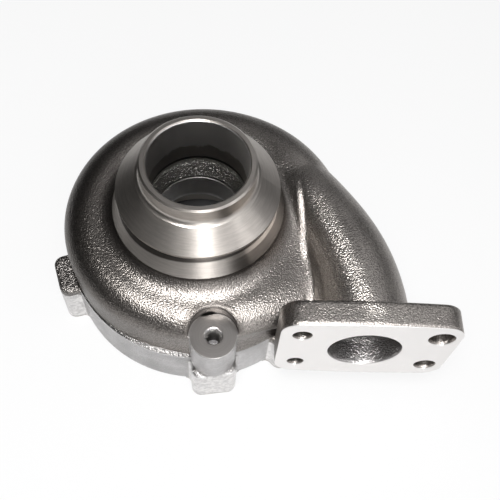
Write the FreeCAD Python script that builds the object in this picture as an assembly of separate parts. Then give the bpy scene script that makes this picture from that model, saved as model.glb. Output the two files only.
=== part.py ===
import FreeCAD, Part
import math
import os

# Turbine housing of a small turbocharger, one iron casting with machined seats.
# Millimetres, Z up. The turbine axis is the Z axis and the bearing side lies on z = 0.
# Angles are measured from +X towards +Y; the gas inlet flange faces -Y.

V = FreeCAD.Vector
UP = V(0, 0, 1)
INTO_PORT = V(0, 1, 0)

# Bearing side plate
base_r = 60.4
base_h = 26.0
rim_edge = 1.2
pilot_r = 44.0
pilot_depth = 6.0
shield_r = 37.0

# Outlet neck
outlet_bore_r = 21.5
outlet_top_z = 88.2
outlet_bore_depth = 26.0
rim_r = 24.7
rim_edge_out = 0.8
rim_edge_in = 0.7
tube_foot_z = 80.0
tube_fillet = 2.2
cone_top_r = 25.6
cone_r = 35.4
cone_z = 70.9
cone_lip = 1.3
groove_r = 31.6
groove_z = 67.4
band_top_r = 33.6
band_top_z = 65.0
band_r = 38.0
band_z = 57.6
neck_fillet_r = 5.5
neck_fillet_end_r = 9.4

# Turbine wheel space
shroud_r = 19.3
shroud_top_z = 50.0
shroud_edge = 0.7
hollow_r = 22.6
hollow_depth = 3.5
wheel_r = 24.5
wheel_round = 7.0
slot_top_z = 31.5
slot_bottom_z = 25.0
slot_slope = 5.5
slot_r = 44.0

# Scroll
wall = 4.5
scroll_start_r = 12.5
scroll_centre_r = 52.2
scroll_end_centre_r = 46.7
scroll_z = 39.0
scroll_rise = 2.0
scroll_inner_r = 30.0
tongue_angle = -30.0
full_angle = 20.0
scroll_end_angle = 260.0
passage_start_angle = 24.0
passage_end_angle = 332.0
ledge_angle = 230.0
foot_r = 59.9
foot_end_r = 58.0
foot_sink = 4.0

# Web that joins the scroll to the inlet duct, and the wall turned below it
shoulder_start_angle = -105.0
shoulder_angle = -80.0
shoulder_out = 3.2
web_start_angle = -64.0
web_angle = -38.0
web_end_angle = 22.0
web_out = 17.0
turned_to_z = 37.5
turned_start_angle = -105.0
turned_end_angle = -44.0

# Inlet duct and its flange
inlet_x = 71.6
inlet_z = 47.5
inlet_bore_r = 15.5
port_step = 0.2
flange_face_y = -63.8
flange_t = 11.0
flange_w = 73.3
flange_h = 47.0
flange_centre_x = 71.95
flange_centre_z = 47.2
flange_corner_r = 8.5
flange_crown = 1.6
flange_back_edge_r = 1.2
flange_hole_dx = 56.4
flange_hole_dz = 27.4
flange_hole_x = 72.3
flange_hole_z = 47.1
flange_hole_r = (4.1, 3.7, 5.6, 4.8)

# Lugs round the plate and the bolt boss at the front
lug_out = 8.1
lug_w = 20.4
lug_corner_r = 4.5
lug_root_r = 3.0
lug_depth = 20.0
cast_edge_r = 1.2
lug_angles = (-161.0, -46.0, 76.0)
ear_angle = -81.6
ear_h = 22.5
boss_r = 10.0
boss_root_z = 12.0
boss_top_z = 43.6
spot_face_step = 0.6
bolt_r = 3.4
bolt_depth = 16.0
bolt_edge = 0.8

# How finely the cast surfaces are drawn
ring_rows = 24
crown_points = 7
hollow_points = 3
tube_points = 8
passage_rows = 12

lug_r = base_r + lug_out
lug_bolt_r = lug_r - lug_w / 2
foot_z = base_h - foot_sink
through = 1.0


def at(angle, r, z):
    a = math.radians(angle)
    return V(r * math.cos(a), r * math.sin(a), z)


def line(a, b):
    return Part.LineSegment(a, b).toShape()


def ease(value):
    # goes smoothly from 0 to 1
    k = min(max(value, 0.0), 1.0)
    return k * k * (3 - 2 * k)


def turned(profile, sweep=360.0):
    # closed outline in the (r, z) plane turned round the turbine axis;
    # a third and fourth value give a point the arc to this corner runs through
    edges = []
    for k in range(len(profile)):
        a, b = profile[k - 1], profile[k]
        start, stop = V(a[0], 0, a[1]), V(b[0], 0, b[1])
        if len(b) == 4:
            edges.append(Part.Arc(start, V(b[2], 0, b[3]), stop).toShape())
        else:
            edges.append(line(start, stop))
    return Part.Face(Part.Wire(edges)).revolve(V(0, 0, 0), UP, sweep)


def rod(x, y, z, r, length, axis=UP):
    return Part.makeCylinder(r, length, V(x, y, z), axis)


def skin(rows, closed):
    # smooth solid whose surface is drawn by rows of control points; each row is
    # one section, and the rows close on themselves or end in flat caps
    m, n = len(rows), len(rows[0])
    if closed:
        mults, knots = [1] * (m + 1), list(range(m + 1))
    else:
        mults, knots = [4] + [1] * (m - 4) + [4], list(range(m - 2))
    surface = Part.BSplineSurface()
    surface.buildFromPolesMultsKnots(rows, mults, [1] * (n + 1), knots, list(range(n + 1)),
                                     closed, True, 3, 3)
    faces = [surface.toShape()]
    if not closed:
        for end in (surface.uIso(knots[0]), surface.uIso(knots[-1])):
            faces.append(Part.Face(Part.Wire(end.toShape())))
    shell = Part.makeShell(faces)
    if not closed:
        shell.sewShape()
    solid = Part.makeSolid(Part.Shell(shell.Faces))
    if solid.Volume < 0:
        solid.reverse()
    return solid


def out(step):
    # a cubic skin runs inside its control points by this factor on a round stretch
    return 3.0 / (2.0 + math.cos(math.radians(step)))


def rise_k(angle):
    # 0 at the tongue, 1 where the scroll has its full section
    return ease((angle - tongue_angle) / (full_angle - tongue_angle))


def gas_r(angle):
    # the area of the gas passage falls evenly with the angle
    return scroll_start_r * math.sqrt(1 - max(angle, 0.0) / 360.0)


def outer_r(angle):
    end = wall + gas_r(scroll_end_angle)
    return end + (max(wall + gas_r(min(angle, scroll_end_angle)), end) - end) * rise_k(angle)


def centre_r(angle):
    share = min(angle, scroll_end_angle) / scroll_end_angle
    law = scroll_centre_r + (scroll_end_centre_r - scroll_centre_r) * share
    return scroll_end_centre_r + (law - scroll_end_centre_r) * rise_k(angle)


def centre_z(angle):
    # the scroll is a little higher where the duct runs in
    return scroll_z + scroll_rise * rise_k(angle) * (1 - ease((angle - full_angle) / 60.0))


def foot_at(angle):
    # the skirt stands back from the rim where the scroll is small
    k = ease((angle - ledge_angle) / (scroll_end_angle - ledge_angle))
    if angle < 0:
        k = 1 - rise_k(angle)
    return foot_r + (foot_end_r - foot_r) * k


def web_reach(angle):
    # near the tongue the body has a shoulder, then spreads outwards to meet the duct
    a = (angle + 180.0) % 360.0 - 180.0
    shoulder = ease((a - shoulder_start_angle) / (shoulder_angle - shoulder_start_angle))
    web = ease((a - web_start_angle) / (web_angle - web_start_angle))
    fade = 1 - ease((a - web_angle) / (web_end_angle - web_angle))
    return (shoulder_out * shoulder + (web_out - shoulder_out) * web) * fade


def scroll_section(angle):
    # one section of the body: skirt, round crown and hollow run-up to the neck,
    # then a way back inside the neck and the plate
    rho, rc, zc = outer_r(angle), centre_r(angle), centre_z(angle)
    thin = (outer_r(0.0) - rho) / (outer_r(0.0) - outer_r(scroll_end_angle))
    reach = web_reach(angle)
    fr = foot_at(angle) + min(reach, shoulder_out)
    foot = math.atan2(foot_z - zc, fr - rc)
    start = math.degrees(foot + math.acos(rho / math.hypot(fr - rc, foot_z - zc)))
    nr = neck_fillet_r + (neck_fillet_end_r - neck_fillet_r) * thin
    hr = band_r - through + nr
    hz = zc + math.sqrt((rho + nr) ** 2 - (rc - hr) ** 2)
    turn = math.degrees(math.atan2(hz - zc, hr - rc))
    skirt_r = rc + rho * math.cos(math.radians(start))
    skirt_z = zc + rho * math.sin(math.radians(start))
    spots = [(fr + (skirt_r - fr) * k, foot_z + (skirt_z - foot_z) * k) for k in (-0.15, 0.3, 0.75)]
    step = (turn - start) / crown_points
    for k in range(crown_points):
        a = math.radians(start + step * (k + 0.5))
        r = rho * out(step)
        spots.append((rc + r * math.cos(a) + reach * max(math.cos(a), 0.0), zc + r * math.sin(a)))
    step = turn / hollow_points
    for k in range(hollow_points):
        a = math.radians(turn + 180.0 - step * (k + 0.5))
        r = nr * out(step)
        spots.append((hr + r * math.cos(a), hz + r * math.sin(a)))
    spots.append((scroll_inner_r + through, hz - through))
    spots.append((scroll_inner_r, (hz + foot_z) / 2))
    spots.append((scroll_inner_r + 2 * through, foot_z - 3 * through))
    spots.append((fr - foot_sink, foot_z - foot_sink))
    return [at(angle, r * out(360.0 / ring_rows), z) for r, z in spots]


def round_section(x, y, z, heading, r):
    h = math.radians(heading)
    r = r * out(360.0 / tube_points)
    row = []
    for k in range(tube_points):
        a = 2 * math.pi * (k + 0.5) / tube_points
        across, rise = r * math.cos(a), r * math.sin(a)
        row.append(V(x + across * math.sin(h), y - across * math.cos(h), z + rise))
    return row


# Inlet duct, from the flange to inside the scroll: centre x, y, z, heading, passage radius
duct = [
    (inlet_x, flange_face_y + flange_t - 2.0, inlet_z, 90.0, inlet_bore_r),
    (inlet_x, -47.0, inlet_z, 90.0, inlet_bore_r),
    (inlet_x - 0.4, -36.0, inlet_z, 93.0, inlet_bore_r - 0.6),
    (inlet_x - 3.4, -22.0, inlet_z, 103.0, inlet_bore_r - 1.4),
    (inlet_x - 8.7, -8.0, inlet_z - 1.0, 113.0, inlet_bore_r - 2.3),
    (inlet_x - 16.0, 6.0, inlet_z - 3.2, 119.0, inlet_bore_r - 3.0),
    (inlet_x - 24.0, 20.0, inlet_z - 6.0, 125.0, inlet_bore_r - 3.6),
    (inlet_x - 33.6, 33.0, inlet_z - 8.5, 132.0, inlet_bore_r - 4.4),
]
pipe = skin([round_section(x, y, z, h, r + wall) for x, y, z, h, r in duct], False)

# Body of the scroll all round, with its wall turned to the rim below the web
scroll = skin([scroll_section(tongue_angle + 360.0 * k / ring_rows) for k in range(ring_rows)], True)
waste = turned([
    (base_r, -through), (base_r + web_out + lug_out, -through),
    (base_r + web_out + lug_out, turned_to_z), (base_r, turned_to_z),
], turned_end_angle - turned_start_angle)
waste.rotate(V(0, 0, 0), UP, turned_start_angle)
scroll = scroll.cut(waste)

# Plate and neck, turned about the turbine axis
cone_slope = (tube_foot_z - cone_z) / (cone_r - cone_top_r)
core = turned([
    (0, 0), (base_r - rim_edge, 0), (base_r, rim_edge), (base_r, base_h),
    (band_r, base_h), (band_r, band_z), (band_top_r, band_top_z),
    (groove_r, groove_z), (cone_r, cone_z - cone_lip), (cone_r, cone_z),
    (cone_top_r + 1.0, tube_foot_z - cone_slope),
    (rim_r, tube_foot_z + tube_fillet, cone_top_r - 0.55, tube_foot_z + 0.5),
    (rim_r, outlet_top_z - rim_edge_out), (rim_r - rim_edge_out, outlet_top_z),
    (0, outlet_top_z),
])

# Inlet flange, slightly crowned on its long sides
left, right = flange_centre_x - flange_w / 2, flange_centre_x + flange_w / 2
bottom, top = flange_centre_z - flange_h / 2, flange_centre_z + flange_h / 2


def on_face(x, z):
    return V(x, flange_face_y, z)


outline = Part.Wire([
    line(on_face(left, bottom), on_face(left, top)),
    Part.Arc(on_face(left, top), on_face(flange_centre_x, top + flange_crown),
             on_face(right, top)).toShape(),
    line(on_face(right, top), on_face(right, bottom)),
    Part.Arc(on_face(right, bottom), on_face(flange_centre_x, bottom - flange_crown),
             on_face(left, bottom)).toShape(),
])
flange = Part.Face(outline).extrude(INTO_PORT * flange_t)
corners = [e for e in flange.Edges if e.BoundBox.YLength > flange_t / 2]
flange = flange.makeFillet(flange_corner_r, corners)
back = [e for e in flange.Edges if e.BoundBox.YMin > flange_face_y + flange_t / 2]
flange = flange.makeFillet(flange_back_edge_r, back)


def lug(angle, height):
    # flat lug with round corners, blended into the rim by hollow roots
    half = lug_w / 2
    inner = base_r - lug_depth
    root_x = math.sqrt((base_r + lug_root_r) ** 2 - (half + lug_root_r) ** 2)
    tip_x = lug_r - lug_corner_r
    sides, tips = [], []
    for side in (-1, 1):
        root = V(root_x, side * (half + lug_root_r), 0)
        rim_point = root * (base_r / (base_r + lug_root_r))
        flank = V(root_x, side * half, 0)
        hollow = root + ((rim_point + flank) * 0.5 - root).normalize() * lug_root_r
        shoulder = V(tip_x, side * half, 0)
        corner = V(tip_x, side * (half - lug_corner_r), 0)
        round_off = corner + V(1, side, 0).normalize() * lug_corner_r
        tips.append(corner + V(lug_corner_r, 0, 0))
        sides.append(line(V(inner, 0, 0), rim_point))
        sides.append(Part.Arc(rim_point, hollow, flank).toShape())
        sides.append(line(flank, shoulder))
        sides.append(Part.Arc(shoulder, round_off, tips[-1]).toShape())
    outline = Part.Wire(Part.__sortEdges__(sides + [line(*tips)]))
    block = Part.Face(outline).extrude(UP * height)
    rims = [e for e in block.Edges if e.BoundBox.ZMin > height / 2
            and e.BoundBox.XMin > inner + lug_depth / 2]
    block = block.makeFillet(cast_edge_r, rims)
    block.rotate(V(0, 0, 0), UP, angle)
    return block


lugs = [lug(a, base_h) for a in lug_angles] + [lug(ear_angle, ear_h)]
axis = at(ear_angle, lug_bolt_r, 0)
boss = rod(axis.x, axis.y, boss_root_z, boss_r, boss_top_z - boss_root_z)

body = core
for piece in [scroll, pipe, flange, boss] + lugs:
    body = body.fuse(piece)

# Gas passage: straight port, duct, then the scroll shrinking to its end
passage = [round_section(x, y, z, h, r - port_step) for x, y, z, h, r in duct[:-2]]
for k in range(passage_rows + 1):
    a = passage_start_angle + (passage_end_angle - passage_start_angle) * k / passage_rows
    c = at(a, centre_r(a), centre_z(a))
    passage.append(round_section(c.x, c.y, c.z, a + 90.0, gas_r(a)))
gas = skin(passage, False)
port = rod(inlet_x, flange_face_y - through, inlet_z, inlet_bore_r, flange_t + through, INTO_PORT)

# Turbine side openings: outlet bore, cast hollow, wheel bore, wheel space, bearing seat
seat_z = outlet_top_z - outlet_bore_depth
inside = turned([
    (0, -through), (pilot_r, -through), (pilot_r, pilot_depth),
    (shield_r, pilot_depth), (shield_r, slot_bottom_z),
    (slot_r, slot_bottom_z + slot_slope), (slot_r, slot_top_z + slot_slope),
    (wheel_r + wheel_round, slot_top_z), (wheel_r, slot_top_z),
    (shroud_r, slot_top_z + wheel_round, shroud_r + 1.55, slot_top_z + 2.4),
    (shroud_r, shroud_top_z), (shroud_r + shroud_edge, shroud_top_z + shroud_edge),
    (hollow_r, seat_z - hollow_depth), (hollow_r, seat_z), (outlet_bore_r, seat_z),
    (outlet_bore_r, outlet_top_z - rim_edge_in),
    (outlet_bore_r + rim_edge_in, outlet_top_z),
    (outlet_bore_r + rim_edge_in, outlet_top_z + through),
    (0, outlet_top_z + through),
])

# Bolt holes of the flange, the boss and the lugs
holes = []
for (sx, sz), r in zip(((-1, 1), (-1, -1), (1, 1), (1, -1)), flange_hole_r):
    x = flange_hole_x + sx * flange_hole_dx / 2
    z = flange_hole_z + sz * flange_hole_dz / 2
    holes.append(rod(x, flange_face_y - through, z, r, flange_t + 2 * through, INTO_PORT))
holes.append(rod(axis.x, axis.y, boss_top_z, boss_r + spot_face_step, base_h))
holes.append(rod(axis.x, axis.y, boss_top_z - bolt_depth, bolt_r, bolt_depth + through))
holes.append(Part.makeCone(bolt_r, bolt_r + bolt_edge, bolt_edge,
                           V(axis.x, axis.y, boss_top_z - bolt_edge)))
for a in lug_angles:
    c = at(a, lug_bolt_r, 0)
    holes.append(rod(c.x, c.y, -through, bolt_r, bolt_depth + through))
    holes.append(Part.makeCone(bolt_r + bolt_edge, bolt_r, bolt_edge, c))

housing = body.cut(inside).cut(gas).cut([port] + holes)

os.makedirs("parts", exist_ok=True)
housing.exportStep("parts/turbine_housing.step")
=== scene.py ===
import bpy
import math
from mathutils import Matrix, Vector


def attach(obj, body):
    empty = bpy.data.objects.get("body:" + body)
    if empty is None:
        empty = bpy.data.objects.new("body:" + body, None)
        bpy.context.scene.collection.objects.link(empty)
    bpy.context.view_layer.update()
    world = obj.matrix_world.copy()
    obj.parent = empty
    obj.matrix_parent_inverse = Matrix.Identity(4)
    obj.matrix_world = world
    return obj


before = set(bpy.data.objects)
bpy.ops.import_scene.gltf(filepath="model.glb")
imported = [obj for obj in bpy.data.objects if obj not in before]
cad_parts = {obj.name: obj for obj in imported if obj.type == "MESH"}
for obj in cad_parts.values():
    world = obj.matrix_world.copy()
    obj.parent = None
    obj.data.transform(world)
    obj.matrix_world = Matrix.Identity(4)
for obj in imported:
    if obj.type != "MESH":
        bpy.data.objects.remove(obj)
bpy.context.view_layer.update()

scene = bpy.context.scene
scene.view_settings.view_transform = "Standard"


# Camera: held above the bench, looking down past the outlet neck to the
# inlet flange. It is placed in the part's own frame, where the turbine
# axis is Z and the inlet flange faces -Y.
camera_at = Vector((0.00957, -0.17801, 0.32427))
camera_right = Vector((0.9985, 0.0067, 0.0543))
camera_up = Vector((-0.0331, 0.8652, 0.5004))
camera_lens = 51.757
camera_sensor = 36.0
camera_near = 0.01

lens = bpy.data.cameras.new("camera")
lens.sensor_width = camera_sensor
lens.lens = camera_lens
lens.clip_start = camera_near
camera = bpy.data.objects.new("camera", lens)
across = camera_right.normalized()
upward = (camera_up - across * camera_up.dot(across)).normalized()
turn = Matrix((across, upward, across.cross(upward))).transposed()
camera.matrix_world = Matrix.Translation(camera_at) @ turn.to_4x4()
scene.collection.objects.link(camera)
scene.camera = camera


# Housing: the whole part is one casting of nodular iron. Its skin is
# shot-blasted and glitters. The outlet neck, rim wall, boss, seats and
# flange face were turned, spot-faced or milled after casting. Places on
# it are found from its own coordinates in metres by this small helper.
class Graph:
    def __init__(self, tree):
        self.tree = tree

    def node(self, kind, **settings):
        made = self.tree.nodes.new(kind)
        for name, value in settings.items():
            setattr(made, name, value)
        return made

    def feed(self, socket, value):
        if isinstance(value, bpy.types.NodeSocket):
            self.tree.links.new(value, socket)
        else:
            socket.default_value = value

    def math(self, operation, a, b=0.0, c=0.0):
        made = self.node("ShaderNodeMath", operation=operation)
        for socket, value in zip(made.inputs, (a, b, c)):
            self.feed(socket, value)
        return made.outputs[0]

    def step(self, value, low, high, at_low=0.0, at_high=1.0):
        made = self.node("ShaderNodeMapRange", interpolation_type="SMOOTHSTEP")
        for socket, given in zip(made.inputs, (value, low, high, at_low, at_high)):
            self.feed(socket, given)
        return made.outputs[0]

    def above(self, value, edge, soft=0.0003):
        return self.step(value, edge - soft, edge + soft)

    def below(self, value, edge, soft=0.0003):
        return self.step(value, edge - soft, edge + soft, 1.0, 0.0)

    def fade(self, value, full, gone):
        return self.step(value, full, gone, 1.0, 0.0)

    def share(self, mask, part):
        return self.math("MULTIPLY", mask, part)

    def without(self, mask):
        return self.math("SUBTRACT", 1.0, mask)

    def off_line(self, u, v, slope, start):
        along = self.math("MULTIPLY_ADD", v, slope, start)
        return self.math("ABSOLUTE", self.math("SUBTRACT", u, along))

    def both(self, *masks):
        result = masks[0]
        for mask in masks[1:]:
            result = self.math("MULTIPLY", result, mask)
        return result

    def either(self, *masks):
        result = masks[0]
        for mask in masks[1:]:
            result = self.math("MAXIMUM", result, mask)
        return result

    def blend(self, mask, a, b):
        made = self.node("ShaderNodeMix", data_type="FLOAT")
        self.feed(made.inputs[0], mask)
        self.feed(made.inputs[2], a)
        self.feed(made.inputs[3], b)
        return made.outputs[0]

    def tint(self, mask, a, b):
        made = self.node("ShaderNodeMix", data_type="RGBA")
        self.feed(made.inputs[0], mask)
        self.feed(made.inputs[6], a)
        self.feed(made.inputs[7], b)
        return made.outputs[2]

    def turn(self, mask, a, b):
        made = self.node("ShaderNodeMix", data_type="VECTOR")
        self.feed(made.inputs[0], mask)
        self.feed(made.inputs[4], a)
        self.feed(made.inputs[5], b)
        return made.outputs[1]

    def noise(self, where, scale, detail=2.0, rough=0.5):
        made = self.node("ShaderNodeTexNoise")
        self.feed(made.inputs["Vector"], where)
        made.inputs["Scale"].default_value = scale
        made.inputs["Detail"].default_value = detail
        made.inputs["Roughness"].default_value = rough
        return made.outputs["Fac"]

    def distance(self, u, v, u0, v0):
        du = self.math("SUBTRACT", u, u0)
        dv = self.math("SUBTRACT", v, v0)
        total = self.math("ADD", self.math("MULTIPLY", du, du), self.math("MULTIPLY", dv, dv))
        return self.math("SQRT", total)

    def join(self, x, y, z):
        made = self.node("ShaderNodeCombineXYZ")
        for socket, value in zip(made.inputs, (x, y, z)):
            self.feed(socket, value)
        return made.outputs[0]


# The neck: clamp cone, groove and band outside, outlet bore, rough hollow
# and turned shroud inside, the painted shadow in the groove, and painted
# shade in the corner where the band meets the scroll.
neck_foot_z = 0.0574
neck_r = 0.0384
band_top_z = 0.0624
groove_left_z, groove_right_z = 0.0624, 0.0642
groove_left_x, groove_right_x = -0.030, 0.005
groove_blur = (-0.0003, 0.0004)
groove_top_z = 0.0696
groove_floor_r, groove_lip_r = 0.0300, 0.0353
outlet_bore_r = 0.0217
outlet_bore_blur = 0.0001
seat_z = 0.0621
undercut_height = 0.0016
hollow_r = 0.0231
shroud_r = 0.0198
shroud_foot_z = 0.028
corner_ring = (0.0384, 0.0415)
corner_foot_z = 0.050

# The bearing side: turned wall of the rim, seats in the recess, and the
# ragged ledge where rim and scroll part.
base_r = 0.0604
base_inside = 0.0006
base_outside = 0.0004
base_top_z = 0.0255
recess_r = 0.0445
foot_z = 0.0006
ledge_half = 0.0012
ledge_in_r, ledge_out_r = 0.0575, 0.0640
ledge_end_x = (0.010, 0.020)

# The inlet flange, the milled face and its port.
flange_face_y = -0.0636
flange_face_blur = 0.0002
flange_from_x = 0.030
port_x, port_z = 0.0716, 0.0475
port_r = 0.0165
port_end_y = -0.030

# The boss and the clamp lugs stand on one circle.
boss_circle_r = 0.0583
boss_angle = math.radians(-81.6)
boss_x = boss_circle_r * math.cos(boss_angle)
boss_y = boss_circle_r * math.sin(boss_angle)
boss_top_z = 0.0434
boss_skirt_z = 0.0225
boss_r = 0.0102
boss_face_r = 0.0107
boss_face_depth = 0.0006
boss_mouth_r, boss_mouth_blur = 0.0040, 0.0002
boss_edge_r, boss_edge_blur = 0.0099, 0.00015
boss_edge_y = (boss_y - 0.006, boss_y + 0.002)
boss_rim_ring = (0.0080, 0.0090)
pocket_r, pocket_blur = 0.0135, 0.0012
pocket_top_z = 0.054
lug_angles = [-161.0, -46.0, 76.0]
left_lug_x = boss_circle_r * math.cos(math.radians(lug_angles[0]))
left_lug_y = boss_circle_r * math.sin(math.radians(lug_angles[0]))
left_lug_r = 0.0130
lug_top_in_r = 0.0608
lug_top_low_z, lug_top_high_z = 0.0205, 0.0275

iron_light = (0.31, 0.288, 0.268, 1.0)
iron_dark = (0.15, 0.137, 0.127, 1.0)
# Painted shade: a darker iron for the left side, the inner web, the right end of the band and the boss
# pocket.
painted_shade_tone = (0.07, 0.062, 0.056, 1.0)
# Painted light: a lighter copy of the iron for the duct side.
duct_painted_light_pale = (0.54, 0.50, 0.465, 1.0)
duct_painted_light_dark = (0.27, 0.25, 0.235, 1.0)
steel_light = (0.50, 0.465, 0.43, 1.0)
steel_dark = (0.42, 0.39, 0.36, 1.0)
bore_tone = (0.86, 0.84, 0.82, 1.0)
boss_tone = (0.37, 0.35, 0.335, 1.0)
boss_dark = (0.24, 0.225, 0.215, 1.0)
wall_tone = (0.55, 0.54, 0.54, 1.0)
wall_shade = (0.33, 0.322, 0.32, 1.0)
ledge_tone = (0.44, 0.43, 0.41, 1.0)
port_tone = (0.40, 0.385, 0.38, 1.0)
shadow_tone = (0.08, 0.072, 0.066, 1.0)
lug_tone = (0.80, 0.785, 0.775, 1.0)
milled_tone = (0.84, 0.82, 0.805, 1.0)

iron = bpy.data.materials.new("cast_iron")
iron.use_nodes = True
iron.node_tree.nodes.clear()
g = Graph(iron.node_tree)
place = g.node("ShaderNodeTexCoord").outputs["Object"]
split = g.node("ShaderNodeSeparateXYZ")
g.feed(split.inputs[0], place)
x, y, z = split.outputs
r = g.distance(x, y, 0.0, 0.0)
from_boss = g.distance(x, y, boss_x, boss_y)

# Places that a tool has cut.
in_hollow = g.both(g.below(r, hollow_r), g.below(z, seat_z))
neck = g.both(g.above(z, neck_foot_z), g.below(r, neck_r), g.without(in_hollow))
bore = g.both(g.below(r, outlet_bore_r, outlet_bore_blur), g.above(z, seat_z))
shroud = g.both(g.below(r, shroud_r), g.above(z, shroud_foot_z))
seats = g.both(g.below(r, recess_r), g.below(z, base_top_z))
foot = g.below(z, foot_z)
milled = g.both(g.below(y, flange_face_y, flange_face_blur), g.above(x, flange_from_x))
boss_face = g.both(g.below(from_boss, boss_face_r), g.above(z, boss_top_z))
boss_face = g.both(boss_face, g.below(z, boss_top_z + boss_face_depth))
turned = g.either(neck, shroud, seats)
machined = g.either(turned, foot, milled, boss_face)
cast = g.without(machined)

# Smooth walls and rough ledges of the casting, and painted shade in the groove,
# the corner under the band, the undercut and the boss pocket.
rim_wall = g.both(g.above(r, base_r - base_inside), g.below(r, base_r + base_outside))
rim_wall = g.both(rim_wall, g.below(z, base_top_z))
boss_wall = g.both(g.below(from_boss, boss_r), g.above(z, boss_skirt_z), g.below(z, boss_top_z))
lugs = g.both(g.below(z, boss_skirt_z), g.above(r, base_r + base_outside))
wall = g.either(rim_wall, boss_wall, lugs)
near_lug = g.below(g.distance(x, y, left_lug_x, left_lug_y), left_lug_r)
lug_top = g.both(near_lug, g.above(r, lug_top_in_r))
lug_top = g.both(lug_top, g.above(z, lug_top_low_z), g.below(z, lug_top_high_z))
parting = g.both(g.above(r, ledge_in_r), g.below(r, ledge_out_r))
parting = g.both(parting, g.above(z, base_top_z - ledge_half), g.below(z, base_top_z + ledge_half))
parting = g.both(parting, g.without(near_lug), g.fade(x, *ledge_end_x))
# painted shadow in the groove under the cone's lip, reaching lower on the left than on the right
groove_shadow_edge = g.step(x, groove_left_x, groove_right_x, groove_left_z, groove_right_z)
groove_shadow = g.step(g.math("SUBTRACT", z, groove_shadow_edge), *groove_blur)
groove_shadow = g.both(groove_shadow, g.below(z, groove_top_z), g.above(r, groove_floor_r), g.below(r, groove_lip_r))
# painted shade in the corner where the band meets the scroll
corner_shade = g.both(g.below(z, neck_foot_z), g.fade(r, *corner_ring), g.above(z, corner_foot_z))
# painted shade at the foot of the outlet bore, in the undercut
undercut_shade = g.both(bore, g.below(z, seat_z + undercut_height))
port_wall = g.both(g.below(y, port_end_y), g.below(g.distance(x, z, port_x, port_z), port_r))
# painted shade in the pocket round the top of the boss
pocket_shade = g.both(g.below(from_boss, pocket_r, pocket_blur), g.above(z, boss_top_z + boss_face_depth))
pocket_shade = g.both(pocket_shade, g.below(z, pocket_top_z))

# Forms that are rounder on the real casting than in the solid: the bright
# bottom of the valley between scroll and duct, the crest of the duct, and
# the crown in front of the neck.
streak_slope, streak_x = -0.07, 0.0460
streak_width = (0.0002, 0.0021)
streak_foot_z = 0.045
streak_front_y = (-0.026, -0.019)
streak_back_y = (0.002, 0.018)
streak = g.fade(g.off_line(x, y, streak_slope, streak_x), *streak_width)
streak = g.both(streak, g.above(z, streak_foot_z))
streak = g.both(streak, g.step(y, *streak_front_y), g.fade(y, *streak_back_y))
crest_slope, crest_x = -0.31, 0.0542
crest_width = (0.0010, 0.0065)
crest_foot_z = 0.052
crest_front_y = (-0.064, -0.054)
crest_back_y = (0.000, 0.022)
crest = g.fade(g.off_line(x, y, crest_slope, crest_x), *crest_width)
crest = g.both(crest, g.above(z, crest_foot_z))
crest = g.both(crest, g.step(y, *crest_front_y), g.fade(y, *crest_back_y))
crown_in_r = (0.040, 0.045)
crown_out_r = (0.051, 0.060)
crown_back_y = (-0.042, -0.018)
crown_left_x = (-0.042, -0.018)
crown_right_x = (0.000, 0.026)
crown_boss_r, crown_boss_blur = 0.0125, 0.0008
crown = g.both(g.step(r, *crown_in_r), g.fade(r, *crown_out_r), g.fade(y, *crown_back_y))
crown = g.both(crown, g.fade(x, *crown_right_x), g.step(x, *crown_left_x))
crown = g.both(crown, g.above(from_boss, crown_boss_r, crown_boss_blur))

# Grain of the blasted skin, and the fine marks of the tools.
turn_squeeze = 0.003
mill_squeeze = 0.15
sand = g.noise(place, scale=1700.0, detail=1.0)
grit = g.noise(place, scale=850.0, detail=1.0)
waves = g.noise(place, scale=120.0)
patches = g.noise(place, scale=45.0, detail=3.0)
mottle = g.noise(place, scale=520.0, rough=0.6)
bore_wave = g.noise(place, scale=160.0)
around = g.join(r, g.share(g.math("ARCTAN2", y, x), turn_squeeze), z)
marks = g.noise(around, scale=5200.0, rough=0.6)
rings = g.noise(around, scale=1300.0, detail=3.0, rough=0.7)
milling = g.join(g.share(x, mill_squeeze), y, z)
strokes = g.noise(milling, scale=1400.0, rough=0.6)
boss_rings = g.noise(g.join(from_boss, 0.0, 0.0), scale=1800.0, rough=0.6)
boss_rings = g.step(boss_rings, 0.35, 0.65)

# Colour of the cast skin. Painted shade darkens the left side and the inner web,
# and painted light makes the duct lighter.
speck_contrast = 2.2
duct_from_x = (0.030, 0.062)
duct_front_y = (-0.058, -0.050, 0.55, 1.0)
left_shade_from_x = (-0.055, 0.000, 0.60, 0.0)
web_from_x = (0.020, 0.036)
web_depth_x = (0.045, 0.052, 0.45, 0.20)
web_front_y = (-0.062, -0.050)
web_back_y = (-0.010, 0.030)
web_foot_z, web_foot_blur = 0.040, 0.004
speck = g.math("MULTIPLY_ADD", g.math("SUBTRACT", sand, 0.5), speck_contrast, patches)
speck = g.step(speck, 0.0, 1.0)
# painted light: the duct side of the cast skin is made lighter
duct_painted_light_mask = g.both(g.step(x, *duct_from_x), g.above(z, base_top_z), g.step(y, *duct_front_y))
# painted shade on the inner web between the neck and the duct
inner_web_shade = g.both(g.step(x, *web_from_x), g.step(x, *web_depth_x), g.step(y, *web_front_y))
inner_web_shade = g.both(inner_web_shade, g.fade(y, *web_back_y), g.above(z, web_foot_z, web_foot_blur))
duct_painted_light_mix = g.tint(speck, duct_painted_light_dark, duct_painted_light_pale)
iron_tone = g.tint(duct_painted_light_mask, g.tint(speck, iron_dark, iron_light), duct_painted_light_mix)
# painted shade: the cast skin darkens towards the left side
iron_tone = g.tint(g.step(x, *left_shade_from_x), iron_tone, painted_shade_tone)
# painted shade on the inner web
iron_tone = g.tint(inner_web_shade, iron_tone, painted_shade_tone)
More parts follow.
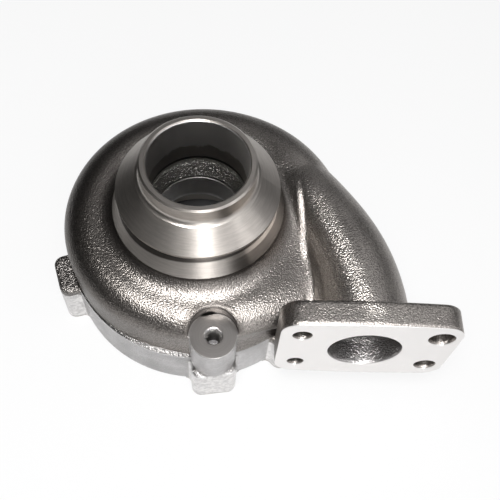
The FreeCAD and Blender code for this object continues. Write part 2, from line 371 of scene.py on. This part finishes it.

# Colour of the turned iron: rings on the neck, a darker tone low in the bore below a
# wavy line, and painted shade at the right end of the band, on the left of the bore,
# in the groove and in the undercut.
bore_wave_height = 0.006
lower_bore_edge_z = (0.0735, 0.0750)
band_shade_x = (0.010, 0.026, 0.0, 0.72)
bore_shade_x = (-0.022, -0.006, 0.62, 0.0)
ring_shade = g.share(g.step(rings, 0.3, 0.7), turned)
steel_tone = g.tint(ring_shade, steel_light, steel_dark)
# the bore turns darker below a wavy line low down
lower_bore = g.fade(g.math("MULTIPLY_ADD", bore_wave, bore_wave_height, z), *lower_bore_edge_z)
bore_mix = g.tint(shroud, g.tint(lower_bore, bore_tone, steel_dark), bore_tone)
steel_tone = g.tint(g.either(bore, shroud), steel_tone, bore_mix)
# painted shade: the right end of the band is darkened
band_end_shade = g.both(neck, g.below(z, band_top_z), g.step(x, *band_shade_x))
steel_tone = g.tint(band_end_shade, steel_tone, painted_shade_tone)
# painted shade: the left side of the outlet bore is darkened
bore_left_shade = g.both(bore, g.step(x, *bore_shade_x))
steel_tone = g.tint(bore_left_shade, steel_tone, shadow_tone)
# painted shadow in the groove and painted shade in the undercut
steel_tone = g.tint(g.either(groove_shadow, undercut_shade), steel_tone, shadow_tone)

# Colour of the spot-faced boss: fine rings, a darker rim, and painted
# highlights on the edge round its front and at the mouth of the tapped hole.
boss_ring_share = 0.30
boss_rim_share = 0.25
boss_mouth_share = 0.7
boss_mix = g.tint(g.share(boss_rings, boss_ring_share), boss_tone, boss_dark)
boss_mix = g.tint(g.step(from_boss, *boss_rim_ring, 0.0, boss_rim_share), boss_mix, boss_dark)
# painted highlight: the boss edge is bright only at its front, and the mouth of the tapped hole is
# bright all round
boss_edge_highlight = g.both(g.above(from_boss, boss_edge_r, boss_edge_blur), g.fade(y, *boss_edge_y))
boss_mouth_highlight = g.share(g.below(from_boss, boss_mouth_r, boss_mouth_blur), boss_mouth_share)
boss_mix = g.tint(g.either(boss_mouth_highlight, boss_edge_highlight), boss_mix, bore_tone)
steel_tone = g.tint(boss_face, steel_tone, boss_mix)

# All colours together, the mottled walls and lugs among them, with painted
# shade in the boss pocket and the corner under the band.
wall_mottle = 0.40
lug_mottle = 0.50
pocket_share = 0.6
parting_share = 0.4
lug_top_share = 0.10
corner_share = 0.6
mottle = g.step(mottle, 0.3, 0.7)
wall_mix = g.tint(g.step(patches, 0.3, 0.7), wall_shade, wall_tone)
wall_mix = g.tint(g.share(mottle, wall_mottle), wall_mix, wall_shade)
lug_mix = g.tint(g.share(mottle, lug_mottle), lug_tone, wall_shade)
colour = g.tint(machined, iron_tone, steel_tone)
# painted shade in the boss pocket
colour = g.tint(g.share(pocket_shade, pocket_share), colour, painted_shade_tone)
colour = g.tint(g.both(wall, cast), colour, g.tint(lugs, wall_mix, lug_mix))
colour = g.tint(g.share(parting, parting_share), colour, lug_mix)
colour = g.tint(g.share(lug_top, lug_top_share), colour, lug_mix)
colour = g.tint(g.both(in_hollow, cast), colour, ledge_tone)
colour = g.tint(g.both(port_wall, cast), colour, port_tone)
# painted shade in the corner under the band
colour = g.tint(g.share(corner_shade, corner_share), colour, shadow_tone)
colour = g.tint(milled, colour, milled_tone)

# Relief, in metres: grain on the cast skin, and tool marks where cut.
sand_height = 0.00017
grit_height = 0.00012
waves_height = 0.00010
marks_height = 0.000030
rings_height = 0.000010
strokes_height = 0.00002
boss_rings_height = 0.00001
crest_grain = 1.55
edge_grain = 2.2
hollow_grain = 3.2
port_grain = 1.4
wall_grain = 1.15
coarse = g.math("MULTIPLY_ADD", grit, grit_height, g.share(waves, waves_height))
skin = g.math("MULTIPLY_ADD", sand, sand_height, coarse)
skin = g.share(skin, g.blend(crest, 1.0, crest_grain))
skin = g.share(skin, g.blend(g.either(lug_top, parting), 1.0, edge_grain))
inner_grain = g.blend(port_wall, g.blend(in_hollow, 1.0, hollow_grain), port_grain)
skin = g.share(skin, g.blend(wall, inner_grain, wall_grain))
tooled = g.math("MULTIPLY_ADD", marks, marks_height, g.share(rings, rings_height))
cut_marks = g.share(strokes, g.share(g.either(milled, foot), strokes_height))
cut_marks = g.math("MULTIPLY_ADD", boss_rings, g.share(boss_face, boss_rings_height), cut_marks)
height = g.math("MULTIPLY_ADD", tooled, turned, cut_marks)
height = g.math("MULTIPLY_ADD", skin, cast, height)

# Edges of the casting are rounded, more so in the valley, and the rounder
# forms lean up and to the front. Where the part was cut it stays sharp.
edge_round = 0.003
valley_round = 0.0055
valley_left_x = (0.024, 0.034)
valley_right_x = (0.056, 0.066)
valley_front_y = (-0.052, -0.044)
valley_foot_z = 0.040
lean = (-0.11, -0.47, 0.87)
streak_lean = 0.80
crest_lean = 0.24
valley = g.both(g.step(x, *valley_left_x), g.fade(x, *valley_right_x))
valley = g.both(valley, g.step(y, *valley_front_y), g.above(z, valley_foot_z))
eased = g.node("ShaderNodeBevel", samples=12)
g.feed(eased.inputs["Radius"], g.blend(valley, edge_round, valley_round))
sharp = g.node("ShaderNodeNewGeometry").outputs["Normal"]
leaning = g.node("ShaderNodeVectorTransform", vector_type="NORMAL")
leaning.convert_from = "OBJECT"
leaning.convert_to = "WORLD"
leaning.inputs[0].default_value = lean
lean_share = g.either(g.share(streak, streak_lean), g.share(g.either(crest, crown), crest_lean))
shape = g.turn(lean_share, g.turn(cast, sharp, eased.outputs[0]), leaning.outputs[0])
bump = g.node("ShaderNodeBump")
bump.inputs["Strength"].default_value = 1.0
bump.inputs["Distance"].default_value = 1.0
g.feed(bump.inputs["Height"], height)
g.feed(bump.inputs["Normal"], shape)

cast_gloss = 0.34
machined_gloss = 0.30
surface = g.node("ShaderNodeBsdfPrincipled")
surface.inputs["Metallic"].default_value = 1.0
g.feed(surface.inputs["Base Color"], colour)
g.feed(surface.inputs["Roughness"], g.blend(machined, cast_gloss, machined_gloss))
g.feed(surface.inputs["Normal"], bump.outputs[0])
g.feed(g.node("ShaderNodeOutputMaterial").inputs["Surface"], surface.outputs[0])

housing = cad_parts["turbine_housing"]
housing.data.materials.clear()
housing.data.materials.append(iron)


# Threads: the tapped holes of the boss and of the clamp lugs, cut in the
# iron. Each is a helical ridge of one pitch per turn in its plain hole.
thread_r = 0.0034
thread_depth = 0.00036
thread_root = 0.00005
thread_flank = 0.45
thread_pitch = 0.00125
thread_lead_in = 0.0008
thread_turns = 9
thread_steps = 24
thread_tone = (0.34, 0.33, 0.32, 1.0)
thread_gloss = 0.3


def thread(name, angle, mouth_z, towards):
    centre_x = boss_circle_r * math.cos(angle)
    centre_y = boss_circle_r * math.sin(angle)
    profile = (
        (thread_root, -thread_flank),
        (-thread_depth, 0.0),
        (thread_root, thread_flank),
    )
    points = []
    faces = []
    count = thread_turns * thread_steps
    for i in range(count + 1):
        around_hole = 2 * math.pi * i / thread_steps
        climb = thread_lead_in + thread_pitch * i / thread_steps
        for out, shift in profile:
            radius = thread_r + out
            point_x = centre_x + radius * math.cos(around_hole)
            point_y = centre_y + radius * math.sin(around_hole)
            points.append((point_x, point_y, mouth_z + towards * (climb + shift * thread_pitch)))
    for i in range(count):
        for j in (0, 1):
            first = i * len(profile) + j
            after = first + len(profile)
            ring = (first, first + 1, after + 1, after)
            faces.append(ring if towards < 0 else ring[::-1])
    mesh = bpy.data.meshes.new(name)
    mesh.from_pydata(points, [], faces)
    mesh.materials.append(thread_iron)
    ridge = bpy.data.objects.new(name, mesh)
    scene.collection.objects.link(ridge)
    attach(ridge, "root")


thread_iron = bpy.data.materials.new("thread_iron")
thread_iron.use_nodes = True
surface = thread_iron.node_tree.nodes["Principled BSDF"]
surface.inputs["Base Color"].default_value = thread_tone
surface.inputs["Metallic"].default_value = 1.0
surface.inputs["Roughness"].default_value = thread_gloss
thread("boss_thread", boss_angle, boss_top_z, -1)
for i, angle in enumerate(lug_angles):
    thread("lug_thread_%d" % (i + 1), math.radians(angle), 0.0, 1)


# Bench: a white table top that the part lies on. It shows white to the
# camera, fainter in the metal, and keeps the part's soft shadow. Under the
# part its colour is a painted shade, and it is clear when it is seen from below.
floor_size = 3.0
floor_gap = 0.0002
floor_share = 0.82
mirror_share = 0.1
under_part_r = (0.045, 0.056)
under_part_painted_shade = (0.12, 0.12, 0.12, 1.0)
open_floor_tone = (0.54, 0.54, 0.54, 1.0)

half = floor_size / 2
floor_corners = [(-half, -half, 0), (half, -half, 0), (half, half, 0), (-half, half, 0)]
sheet = bpy.data.meshes.new("floor")
sheet.from_pydata(floor_corners, [], [(0, 1, 2, 3)])
floor = bpy.data.objects.new("floor", sheet)
floor.location.z = -floor_gap
scene.collection.objects.link(floor)

white = bpy.data.materials.new("floor_white")
white.use_nodes = True
white.node_tree.nodes.clear()
g = Graph(white.node_tree)
flat = g.node("ShaderNodeSeparateXYZ")
g.feed(flat.inputs[0], g.node("ShaderNodeTexCoord").outputs["Object"])
open_floor = g.step(g.distance(flat.outputs[0], flat.outputs[1], 0.0, 0.0), *under_part_r)
matte = g.node("ShaderNodeBsdfDiffuse")
# painted shade: the bench colour is dark under the part
g.feed(matte.inputs["Color"], g.tint(open_floor, under_part_painted_shade, open_floor_tone))
glow = g.node("ShaderNodeEmission")
glow.inputs["Color"].default_value = (1.0, 1.0, 1.0, 1.0)
path = g.node("ShaderNodeLightPath")
seen = g.either(path.outputs["Is Camera Ray"], path.outputs["Is Transmission Ray"])
seen = g.share(seen, floor_share)
seen = g.either(seen, g.share(path.outputs["Is Glossy Ray"], mirror_share))
top = g.node("ShaderNodeMixShader")
g.feed(top.inputs[0], g.both(seen, open_floor))
g.feed(top.inputs[1], matte.outputs[0])
g.feed(top.inputs[2], glow.outputs[0])
under = g.node("ShaderNodeMixShader")
g.feed(under.inputs[0], g.node("ShaderNodeNewGeometry").outputs["Backfacing"])
g.feed(under.inputs[1], top.outputs[0])
g.feed(under.inputs[2], g.node("ShaderNodeBsdfTransparent").outputs[0])
g.feed(g.node("ShaderNodeOutputMaterial").inputs["Surface"], under.outputs[0])
sheet.materials.append(white)


# Light: a soft box above the camera, a tall strip low in front, and a
# narrow strip and pane at the right that draw the streaks on the cone.
lamp_aim = Vector((0.01, 0.0, 0.04))


def soft_box(name, towards, distance, width, tall, power):
    lamp = bpy.data.lights.new(name, "AREA")
    lamp.shape = "RECTANGLE"
    lamp.size = width
    lamp.size_y = tall
    lamp.energy = power
    box = bpy.data.objects.new(name, lamp)
    box.location = lamp_aim + Vector(towards).normalized() * distance
    box.rotation_euler = (lamp_aim - box.location).to_track_quat("-Z", "Y").to_euler()
    scene.collection.objects.link(box)


soft_box("front_box", (-0.05, -0.38, 0.925), distance=0.6, width=0.22, tall=0.22, power=5.2)
soft_box("front_strip", (0.16, -0.92, 0.36), distance=1.3, width=0.30, tall=1.15, power=5.2)
soft_box("side_strip", (0.77, -0.45, 0.46), distance=1.0, width=0.09, tall=0.35, power=0.33)
soft_box("side_pane", (0.92, -0.20, 0.30), distance=1.0, width=0.04, tall=0.35, power=0.16)


# Card: a black board that stands on the bench at the left, out of the
# camera's sight, and keeps the left side of the metal dark.
card_x, card_y, card_z = -0.22, 0.45, 0.25
card_tone = (0.01, 0.01, 0.01, 1.0)

card_corners = [
    (card_x, -card_y, 0),
    (card_x, card_y, 0),
    (card_x, card_y, card_z),
    (card_x, -card_y, card_z),
]
card = bpy.data.meshes.new("dark_card")
card.from_pydata(card_corners, [], [(0, 1, 2, 3)])
black = bpy.data.materials.new("card_black")
black.use_nodes = True
black.node_tree.nodes["Principled BSDF"].inputs["Base Color"].default_value = card_tone
card.materials.append(black)
flag = bpy.data.objects.new("dark_card", card)
flag.visible_camera = False
scene.collection.objects.link(flag)


# Room: dark at the left and low down, paler overhead and towards the
# right front wall. Behind the bench the camera sees plain white.
room_tone = (0.98, 0.98, 1.0, 1.0)
overhead_rise = (0.2, 0.95)
overhead_side = (-0.25, 0.45, 0.04, 1.0)
overhead_light = 0.9
base_light = 0.03
right_share = 0.7
front_share = -0.7
right_wall_rise = (0.2, 1.0, 0.0, 0.6)

world = bpy.data.worlds.new("room")
world.use_nodes = True
world.node_tree.nodes.clear()
g = Graph(world.node_tree)
split = g.node("ShaderNodeSeparateXYZ")
g.feed(split.inputs[0], g.node("ShaderNodeTexCoord").outputs["Generated"])
right, back, up = split.outputs
overhead = g.both(g.step(up, *overhead_rise), g.step(right, *overhead_side))
overhead = g.math("MULTIPLY_ADD", overhead, overhead_light, base_light)
right_wall = g.math("MULTIPLY_ADD", right, right_share, g.share(back, front_share))
right_wall = g.step(right_wall, *right_wall_rise)
wall_light = g.math("ADD", overhead, right_wall)
path = g.node("ShaderNodeLightPath")
seen = g.either(path.outputs["Is Camera Ray"], path.outputs["Is Transmission Ray"])
room = g.node("ShaderNodeBackground")
room.inputs["Color"].default_value = room_tone
g.feed(room.inputs["Strength"], g.blend(seen, wall_light, 1.0))
g.feed(g.node("ShaderNodeOutputWorld").inputs["Surface"], room.outputs[0])
scene.world = world
